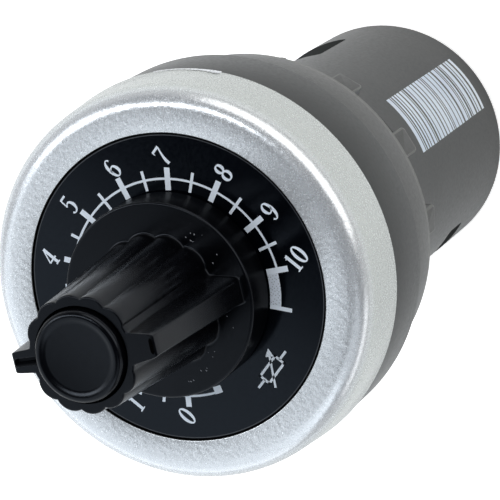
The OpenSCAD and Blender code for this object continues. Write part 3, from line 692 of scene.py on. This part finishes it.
# Strokes of each digit: whether curved, and their (x, y, width) points
GLYPHS = {
    "0": [(True, oval(0.27, 0.5, 0.195, 0.465))],
    "1": [
        (False, [(0.27, 0.03, THICK), (0.27, 0.97, THICK)]),
        (False, [(0.10, 0.025, SERIF), (0.44, 0.025, SERIF)]),
        (True, [(0.12, 0.82, 0.02), (0.22, 0.88, 0.07), (0.32, 0.99, 0.02)]),
    ],
    "2": [
        (True, [(0.07, 0.76, 0.10), (0.14, 0.93, THIN), (0.29, 0.965, THIN), (0.44, 0.82, THICK),
            (0.40, 0.56, THICK * 0.8), (0.22, 0.28, THIN * 1.3), (0.06, 0.06, THIN)]),
        (False, [(0.05, 0.06, 0.12), (0.48, 0.06, 0.12)]),
        (False, [(0.475, 0.02, SERIF), (0.475, 0.22, 0.03)]),
    ],
    "3": [
        (True, [(0.07, 0.84, 0.10), (0.16, 0.95, THIN), (0.30, 0.96, THIN), (0.42, 0.80, THICK),
            (0.36, 0.61, THIN * 1.4), (0.20, 0.53, THIN)]),
        (True, [(0.20, 0.53, THIN), (0.38, 0.50, THIN * 1.4), (0.46, 0.30, THICK),
            (0.38, 0.09, THIN * 1.4), (0.20, 0.03, THIN), (0.06, 0.14, 0.11)]),
    ],
    "4": [
        (False, [(0.36, 0.03, THICK), (0.36, 0.99, THICK)]),
        (False, [(0.34, 0.98, THIN), (0.03, 0.32, THIN)]),
        (False, [(0.02, 0.31, THIN * 1.2), (0.53, 0.31, THIN * 1.2)]),
        (False, [(0.22, 0.025, SERIF), (0.50, 0.025, SERIF)]),
    ],
    "5": [
        (False, [(0.12, 0.945, 0.11), (0.46, 0.945, 0.11)]),
        (False, [(0.12, 0.97, THIN), (0.095, 0.50, THIN)]),
        (True, [(0.095, 0.51, THIN), (0.22, 0.61, THIN), (0.36, 0.58, THIN * 1.6),
            (0.445, 0.34, THICK), (0.37, 0.10, THIN * 1.5), (0.20, 0.03, THIN),
            (0.08, 0.12, 0.11)]),
    ],
    "6": [
        (True, [(0.44, 0.86, 0.10), (0.38, 0.95, THIN), (0.27, 0.96, THIN),
            (0.13, 0.76, THICK * 0.9), (0.085, 0.42, THICK), (0.15, 0.12, THIN * 1.6),
            (0.28, 0.03, THIN), (0.42, 0.14, THIN * 1.8), (0.455, 0.32, THICK),
            (0.40, 0.52, THIN * 1.6), (0.28, 0.58, THIN), (0.15, 0.50, THIN),
            (0.10, 0.38, THIN)]),
    ],
    "7": [
        (False, [(0.05, 0.94, 0.12), (0.50, 0.94, 0.12)]),
        (False, [(0.06, 0.97, SERIF), (0.06, 0.78, 0.03)]),
        (True, [(0.48, 0.92, THIN), (0.34, 0.60, THIN * 1.4), (0.24, 0.28, THICK * 0.9),
            (0.22, 0.01, THICK)]),
    ],
    "8": [(True, oval(0.27, 0.745, 0.155, 0.215)), (True, oval(0.27, 0.275, 0.19, 0.235))],
}
GLYPHS["9"] = [
    (curved, [(GLYPH_W - x, 1 - y, width) for x, y, width in points])
    for curved, points in GLYPHS["6"]
]
# Small shifts of single numbers, as the print has them
NUMBER_SHIFTS = {
    0: (-0.1, 0.25), 3: (-0.2, 0.2), 4: (-0.3, 0.25), 5: (-0.2, 0.2), 7: (-0.15, 0.25),
    8: (0, -0.1), 10: (0.4, 0.45),
}


def number(sheets, value):
    """A number of the scale, upright on the dial."""
    text = str(value)
    shift_x, shift_y = NUMBER_SHIFTS.get(value, (0, 0))
    cx, cy, _ = polar(DIGIT_R, value_deg(value), 0)
    left = cx + shift_x - len(text) * GLYPH_W * DIGIT_H / 2
    low = cy + shift_y - DIGIT_H / 2
    for i, sign in enumerate(text):
        for j, (curved, points) in enumerate(GLYPHS[sign]):
            lift = PRINT_Z + 0.001 * j

            def place(x, y):
                return (left + (i * GLYPH_W + x) * DIGIT_H, low + y * DIGIT_H, lift)

            stroke(points, place, sheets, curved)


def dial_print():
    """Scale line, ticks, numbers and the filled end of the scale."""
    zero, last = value_deg(0), value_deg(LAST_VALUE)
    sheets = Sheets()
    ring_strip(sheets, SCALE_R - SCALE_W / 2, SCALE_R + SCALE_W / 2, zero - LINE_PAST, last)
    for half in range(2 * LAST_VALUE + 1):
        radii, width = (MINOR_R, MINOR_W) if half % 2 else (MAJOR_R, MAJOR_W)
        tick(sheets, radii, width, value_deg(half / 2))
    tick(sheets, MAJOR_R, BAND_END_W, last + BAND_DEG)
    band = Sheets()
    ring_strip(band, *BAND_R, last, last + BAND_DEG, OVER_Z)
    band.piece("dial_band", FIXED_BODY, "dial_print", DOTTED)
    ring_strip(sheets, *HOOK_R, *(zero - past for past in HOOK_PAST), OVER_Z)
    for value in range(LAST_VALUE + 1):
        number(sheets, value)
    sheets.piece("dial_scale", FIXED_BODY, "dial_print", PRINT)


def resistor_symbol():
    """General sign of a variable resistor: a box with two leads and an arrow across it."""
    centre_x, centre_y = -0.13, -9.14
    half_w, half_h, lead, line = 1.0, 0.42, 1.85, 0.19
    arrow_w, head_w, head_len = 0.17, 0.66, 0.62
    tail, tip = Vector((-0.95, -0.98)), Vector((1.12, 1.15))
    sheets = Sheets()

    def place(x, y):
        return (centre_x + x, centre_y + y, PRINT_Z)

    def straight(start, end, start_w, end_w):
        stroke([(*start, start_w), (*end, end_w)], place, sheets)

    box = [Vector((x * half_w, y * half_h))
        for x, y in ((-1, -1), (1, -1), (1, 1), (-1, 1), (-1, -1))]
    for start, end in zip(box, box[1:]):
        over = (end - start).normalized() * line / 2
        straight(start - over, end + over, line, line)
    for side in (-1, 1):
        straight((side * half_w, 0), (side * lead, 0), line, line)
    neck = tip - (tip - tail).normalized() * head_len
    straight(tail, neck, arrow_w, arrow_w)
    straight(neck, tip, head_w, 0.02)
    sheets.piece("resistor_symbol", FIXED_BODY, "dial_print", PRINT)


# Print on the housing

BARS_DEG = (92.4, 121.6)
BARS_Z = (2.5, 18.9)
BAR_UNIT = 0.17


def housing_bars():
    """A field of printed bars on the housing, running round it and stacked along the axis."""
    r = HOUSING_R + 0.012
    rng = random.Random(11)
    sheets = Sheets()
    z, high = BARS_Z
    while z < high - BAR_UNIT:
        top = min(z + BAR_UNIT * rng.choice((1, 2, 2, 3, 4)), high)
        sheets.grid([[polar(r, a, top), polar(r, a, z)] for a in steps_between(*BARS_DEG, 14)])
        z = top + BAR_UNIT * rng.choice((1.0, 1.0, 1.4, 2.0))
    sheets.piece("housing_bars", FIXED_BODY, "mid_grey", LABEL)


# Knob

GRIP_R = 3.9
# The grip's outline at its foot, as a share of the outline at its front
BASE_SCALE = 1 + 0.7 / GRIP_R
LOBES, LOBE, LOBE_FIRST, LOBE_PITCH = 5, 0.3, 34.5, 27.0
POINTER_REACH, POINTER_W, POINTER_SPREAD = 5.25, 1.5, 0.1
TAIL_REACH, TAIL_W, TAIL_SPREAD = 5.6, 1.6, 0.3
EAR_ROUND, EAR_BLEND = 0.5, 0.25
GROOVE_DEPTH, GROOVE_HALF = 0.32, 0.3
RECESS_R, RECESS_DEPTH = 3.4, 6.3
TOP_ROUND, SKIRT_ROUND, FOOT_ROUND = 0.12, 0.18, 0.18


def smooth_min(a, b, k):
    """The lower of two values, blended where they differ by less than k."""
    h = max(0, min(1, 0.5 + 0.5 * (b - a) / k))
    return b + (a - b) * h - k * h * (1 - h)


def smooth_max(a, b, k):
    """The higher of two values, blended where they differ by less than k."""
    return -smooth_min(-a, -b, k)


def lobe_height(a):
    """Height of the lobes over the flutes, at an angle from the pointer."""
    k = round((abs(a) - LOBE_FIRST) / LOBE_PITCH)
    if not 0 <= k < LOBES:
        return 0
    off = abs(a) - LOBE_FIRST - k * LOBE_PITCH
    return LOBE * math.cos(math.radians(off * 180 / LOBE_PITCH)) ** 0.7


def ear_reach(a, reach, width, spread):
    """Distance along a ray at angle a to the edge of an ear that points along zero."""
    if abs(a) > 80:
        return 0
    cosine = math.cos(math.radians(a))
    slope = spread / (reach - GRIP_R)
    spreading = math.tan(math.radians(abs(a))) + slope
    along = (width / 2 + slope * reach) / spreading
    return smooth_min(reach / cosine, along / cosine, EAR_ROUND)


def grip_radius(a):
    """Outline of the grip at its front, at an angle from the pointer."""
    core = GRIP_R + lobe_height(a)
    pointer = ear_reach(a, POINTER_REACH, POINTER_W, POINTER_SPREAD)
    back = a - 180 if a > 0 else a + 180
    tail = ear_reach(back, TAIL_REACH, TAIL_W, TAIL_SPREAD)
    return smooth_max(core, max(pointer, tail), EAR_BLEND)


def knob_angles():
    """Angles from the pointer, closer together at the two ears."""
    angles = []
    a = -180.0
    while a < 180:
        angles.append(a)
        near = min(abs(a), 180 - abs(a))
        a += 0.4 if near < 18 else 0.9
    return angles


def front_point(a, radius):
    """Point of the knob's front face, with the pointer's groove."""
    x = radius * math.sin(math.radians(a))
    y = radius * math.cos(math.radians(a))
    drop = GROOVE_DEPTH * max(0, 1 - abs(x) / GROOVE_HALF) if y > 0 else 0
    return polar(radius, KNOB_TURN + a, KNOB_TOP - drop)


def knob():
    """Knob with its skirt, fluted grip and two ears, as rings of points from base to recess."""
    angles = knob_angles()
    outline = [grip_radius(a) for a in angles]

    def round_ring(r, z):
        return [polar(r, KNOB_TURN + a, z) for a in angles]

    def grip_ring(z, spread=0.0):
        share = (z - SKIRT_TOP) / (KNOB_TOP - SKIRT_TOP)
        scale = BASE_SCALE + (1 - BASE_SCALE) * share
        return [polar(r * scale + spread, KNOB_TURN + a, z) for a, r in zip(angles, outline)]

    skirt = (
        [(GRIP_R, KNOB_BASE), (6.0, KNOB_BASE), (SKIRT_R - 0.06, KNOB_BASE)]
        + [(SKIRT_R, KNOB_BASE + 0.06), (SKIRT_R, KNOB_BASE + 1.4)]
        + arc(SKIRT_R - SKIRT_ROUND, SKIRT_TOP - SKIRT_ROUND, SKIRT_ROUND, 0, 90, 6)
        + [(SKIRT_R - SKIRT_ROUND - 0.05, SKIRT_TOP)]
    )
    rings = [round_ring(r, z) for r, z in skirt]
    rings.append(grip_ring(SKIRT_TOP, FOOT_ROUND + 0.05))
    for t in steps_between(0, TURN / 4, 5):
        up = FOOT_ROUND * (1 - math.cos(t))
        rings.append(grip_ring(SKIRT_TOP + up, FOOT_ROUND * (1 - math.sin(t))))
    for z in steps_between(SKIRT_TOP + FOOT_ROUND, KNOB_TOP - TOP_ROUND, 23)[1:]:
        rings.append(grip_ring(z))
    for t in steps_between(0, TURN / 4, 4)[1:]:
        z = KNOB_TOP - TOP_ROUND + TOP_ROUND * math.sin(t)
        rings.append(grip_ring(z, TOP_ROUND * (math.cos(t) - 1)))
    for t in steps_between(0, 1, 22)[1:]:
        rings.append([
            front_point(a, (r - TOP_ROUND) * (1 - t) + (RECESS_R + 0.05) * t)
            for a, r in zip(angles, outline)
        ])
    recess = [(RECESS_R, 0.05), (RECESS_R, RECESS_DEPTH), (2.0, RECESS_DEPTH)]
    rings += [round_ring(r, KNOB_TOP - depth) for r, depth in recess]
    corners = [c for ring in rings for c in ring]
    n = len(angles)
    faces = []
    for i in range(len(rings) - 1):
        for j in range(n):
            k = (j + 1) % n
            faces.append((i * n + j, (i + 1) * n + j, (i + 1) * n + k, i * n + k))
    piece("knob_visual", corners, faces, TURNING_BODY, "knob_black", sharp=38,
        stands_for=["knob"])


def tail_slot():
    """Painted shade of a slot across the end of the tail: a flat dark sheet on the front face.
    """
    half_len, half_w, set_in = 0.58, 0.14, 0.27
    rows = []
    for t in steps_between(-1, 1, 8):
        half = half_w * math.sqrt(max(0.0, 1 - abs(t) ** 4)) + 0.01
        row = []
        for y in (set_in - TAIL_REACH - half, set_in - TAIL_REACH + half):
            deg = KNOB_TURN + math.degrees(math.atan2(half_len * t, y))
            row.append(polar(math.hypot(half_len * t, y), deg, KNOB_TOP + 0.006))
        rows.append(row)
    slot = Sheets()
    slot.grid(rows)
    slot.piece("tail_slot", TURNING_BODY, "knob_black", GAP_SHADE)


def knob_cap():
    """Cap in the front of the knob: rounded rim and a slightly sunk field."""
    r, rim, rear = 3.26, 0.42, CAP_TOP - 1.6
    slope_w, half_sink = 0.5, 0.06
    sink = []
    for t in steps_between(0, 1, 8)[1:]:
        drop = half_sink * (1 - math.cos(math.pi * t))
        sink.append((r - rim - slope_w * t, CAP_TOP - drop))
    section = (
        [(2.2, rear), (r, rear)]
        + arc(r - rim, CAP_TOP - rim, rim, 0, 90, 12)
        + sink
        + [(0.001, CAP_TOP - 2 * half_sink - 0.005), (0.001, rear)]
    )
    piece("knob_cap_visual", *revolve(section, 200), TURNING_BODY, "knob_black", sharp=60,
        stands_for=["knob_cap"])


def dust():
    """Fine specks lying on the skirt."""
    rng = random.Random(3)
    specks = Sheets()
    for _ in range(26):
        r, deg, half = rng.uniform(5.0, 6.45), rng.uniform(75, 215), rng.uniform(0.012, 0.032)
        x, y, z = polar(r, deg, SKIRT_TOP + 0.008)
        long = half * rng.uniform(1, 2.2)
        specks.grid([[(x + i * half, y + j * long, z) for i in (-1, 1)] for j in (-1, 1)])
    specks.piece("dust", TURNING_BODY, "knob_black", DUST)


def dress_nodes():
    """Gives every CAD node the material of its slot."""
    for part in frame["record"]["subparts"]:
        mesh = frame["nodes"][part["node"]].data
        mesh.materials.clear()
        mesh.materials.append(MATERIALS[part["material_slot"]])
        mesh.shade_smooth()
        mesh.set_sharp_from_angle(angle=math.radians(30))


dress_nodes()
bezel()
dial_lines()
bezel_flash()
collar_and_barrel()
barrel_thread()
ring_nut()
dial_print()
resistor_symbol()
housing_bars()
knob()
tail_slot()
knob_cap()
dust()


# Camera, light and floor


def add_camera():
    """Camera at the photograph's angle: above the front, rolled to the left."""
    data = bpy.data.cameras.new("camera")
    data.sensor_width = 36
    data.lens = 192.0
    data.clip_start, data.clip_end = 0.01, 10
    camera = bpy.data.objects.new("camera", data)
    bpy.context.scene.collection.objects.link(camera)
    right = Vector((0.52131, -0.76718, -0.37378))
    up = Vector((0.73172, 0.62720, -0.26666))
    back = Vector((0.43898, -0.13453, 0.88837))
    place = Vector((0.08956, -0.02832, 0.21604))
    rows = [[right[i], up[i], back[i], place[i]] for i in range(3)]
    camera.matrix_world = Matrix((*rows, (0, 0, 0, 1)))
    bpy.context.scene.camera = camera


LIT_POINT = Vector((0, 0, DIAL_Z)) * MM
COOL, COOLISH, NEUTRAL, WARM = (0.9, 0.96, 1.0), (0.95, 0.98, 1.0), (1, 1, 1), (1.0, 0.98, 0.94)
# Azimuth and elevation seen from the dial, distance and size in metres, power, colour, roll
LAMPS = {
    "key": (-95, 30.5, 0.3, (0.58, 0.4), 0.76, COOL, 0),
    "fill": (-160, 47, 0.4, (0.3, 0.25), 0.13, COOL, 0),
    "back": (-4, 57, 0.57, (0.52, 0.10), 1.0, COOLISH, 131),
    "soft_back": (-20, 38, 0.57, (0.28, 0.28), 0.4, COOLISH, 0),
    "right": (88, 29, 0.58, (1.0, 0.34), 2.2, WARM, 0),
    "low": (178, 12, 0.49, (0.35, 0.15), 0.18, NEUTRAL, 0),
}


def area_lamp(name, azimuth, elevation, distance, size, power, colour, roll):
    """A soft lamp, size wide and high, that looks at the dial; roll turns it round its axis."""
    data = bpy.data.lights.new(name, "AREA")
    data.shape = "RECTANGLE"
    data.size, data.size_y = size
    data.energy = power
    data.color = colour
    a, e = math.radians(azimuth), math.radians(elevation)
    away = Vector((math.sin(a) * math.cos(e), math.cos(a) * math.cos(e), math.sin(e))) * distance
    lamp = bpy.data.objects.new(name, data)
    lamp.location = LIT_POINT + away
    lamp.rotation_mode = "QUATERNION"
    aim = (-away).to_track_quat("-Z", "Y")
    lamp.rotation_quaternion = aim @ Quaternion((0, 0, 1), math.radians(roll))
    bpy.context.scene.collection.objects.link(lamp)


def add_world():
    """Pale horizon under a darker ceiling, as in a small studio."""
    world = bpy.data.worlds.new("studio")
    world.use_nodes = True
    tree = world.node_tree
    background = tree.nodes["Background"]
    coord = tree.nodes.new("ShaderNodeTexCoord")
    rise = mapped(tree, axial(tree, coord.outputs["Generated"]), 0, 1, 0.05, 0.5)
    colour = mixed_colour(tree, rise, (0.6, 0.6, 0.6), (0.03, 0.035, 0.045))
    tree.links.new(colour, background.inputs["Color"])
    background.inputs["Strength"].default_value = 1.0
    bpy.context.scene.world = world


# Strength of the floor's own white, as the camera sees it and as the object mirrors it
SEEN_WHITE, MIRRORED_WHITE = 0.65, 0.15


def add_floor():
    """Plain white floor that keeps the object's shadow."""
    half = 4
    outline = [(-half, -half, 0), (half, -half, 0), (half, half, 0), (-half, half, 0)]
    mesh = bpy.data.meshes.new("floor")
    mesh.from_pydata(outline, [], [(0, 1, 2, 3)])
    material, tree, shader = new_material("floor")
    shader.inputs["Base Color"].default_value = (0.9, 0.9, 0.9, 1)
    shader.inputs["Roughness"].default_value = 0.9
    shader.inputs["Specular IOR Level"].default_value = 0.0
    ray = tree.nodes.new("ShaderNodeLightPath").outputs
    mirrored = maths(tree, "MAXIMUM", ray["Is Glossy Ray"], ray["Is Transmission Ray"])
    glow = maths(tree, "MULTIPLY", mirrored, MIRRORED_WHITE)
    strength = maths(tree, "MULTIPLY_ADD", ray["Is Camera Ray"], SEEN_WHITE, glow)
    tree.links.new(strength, shader.inputs["Emission Strength"])
    shader.inputs["Emission Color"].default_value = (1, 1, 1, 1)
    mesh.materials.append(material)
    floor = bpy.data.objects.new("floor", mesh)
    bpy.context.scene.collection.objects.link(floor)


add_camera()
for lamp_name, lamp_values in LAMPS.items():
    area_lamp(lamp_name, *lamp_values)
add_world()
add_floor()
bpy.context.scene.view_settings.view_transform = "Standard"
